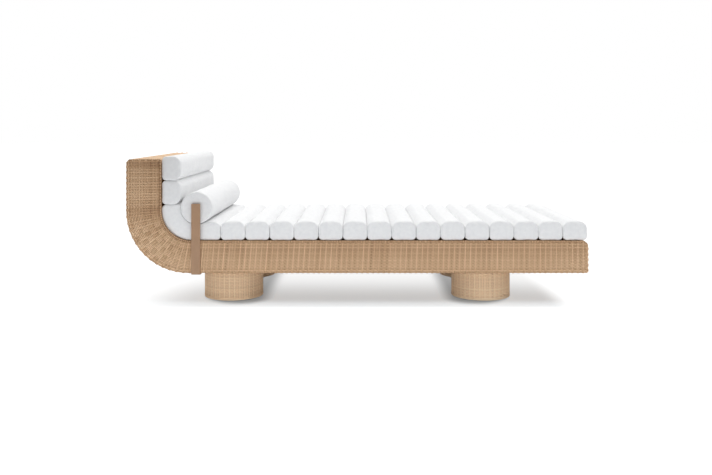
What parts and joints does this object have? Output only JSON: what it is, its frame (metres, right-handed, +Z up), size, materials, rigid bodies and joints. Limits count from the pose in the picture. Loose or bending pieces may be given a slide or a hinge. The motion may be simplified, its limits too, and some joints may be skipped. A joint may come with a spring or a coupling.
{
  "type": "sun lounger",
  "caption": "Woven sun lounger with an upswept curved headboard on drum feet, a channelled roll pad and a round neck bolster that turns between two side bars.",
  "frame": {"origin": "on the floor, under the middle of the woven body's footprint", "axes": "+X from the head end to the foot end, +Y to the left of someone lying on it, +Z up"},
  "size_m": [2.1, 0.862, 0.656],
  "materials": {
    "wicker": "matte",
    "cushion_fabric": "matte",
    "bolster_fabric": "matte",
    "bracket_coating": "matte",
    "frame_aluminium": "satin",
    "fastener_steel": "satin",
    "glide_plastic": "matte"
  },
  "bodies": {
    "root": {"back_roll_1": "cushion_fabric", "back_roll_2": "cushion_fabric", "bolster_bracket_left": "bracket_coating", "bolster_bracket_right": "bracket_coating", "bracket_screws": "fastener_steel", "corner_pad": "cushion_fabric", "deck_rails": "frame_aluminium", "floor_glides": "glide_plastic", "foot_bolts": "fastener_steel", "foot_frame_foot_left": "frame_aluminium", "foot_frame_foot_right": "frame_aluminium", "foot_frame_head_left": "frame_aluminium", "foot_frame_head_right": "frame_aluminium", "foot_nuts": "fastener_steel", "foot_plates": "frame_aluminium", "foot_weave_foot_left": "wicker", "foot_weave_foot_right": "wicker", "foot_weave_head_left": "wicker", "foot_weave_head_right": "wicker", "headboard_rails": "frame_aluminium", "seat_roll_01": "cushion_fabric", "seat_roll_02": "cushion_fabric", "seat_roll_03": "cushion_fabric", "seat_roll_04": "cushion_fabric", "seat_roll_05": "cushion_fabric", "seat_roll_06": "cushion_fabric", "seat_roll_07": "cushion_fabric", "seat_roll_08": "cushion_fabric", "seat_roll_09": "cushion_fabric", "seat_roll_10": "cushion_fabric", "seat_roll_11": "cushion_fabric", "seat_roll_12": "cushion_fabric", "seat_roll_13": "cushion_fabric", "seat_roll_14": "cushion_fabric", "seat_roll_15": "cushion_fabric", "side_frame_left": "frame_aluminium", "side_frame_right": "frame_aluminium", "underside_rails": "frame_aluminium", "woven_back_skin": "wicker", "woven_deck_skin": "wicker", "woven_foot_panel": "wicker", "woven_head_cap": "wicker", "woven_side_left": "wicker", "woven_side_right": "wicker"},
    "bolster": {"bolster_pad": "bolster_fabric", "bolster_core_tube": "frame_aluminium", "bolster_bush_left": "glide_plastic", "bolster_bush_right": "glide_plastic"}
  },
  "joints": [
    {"name": "bolster_roll", "type": "hinge", "parent": "root", "child": "bolster", "pos_m": [-0.7317, 0, 0.4295], "axis": [0, 1, 0], "continuous": true}
  ]
}
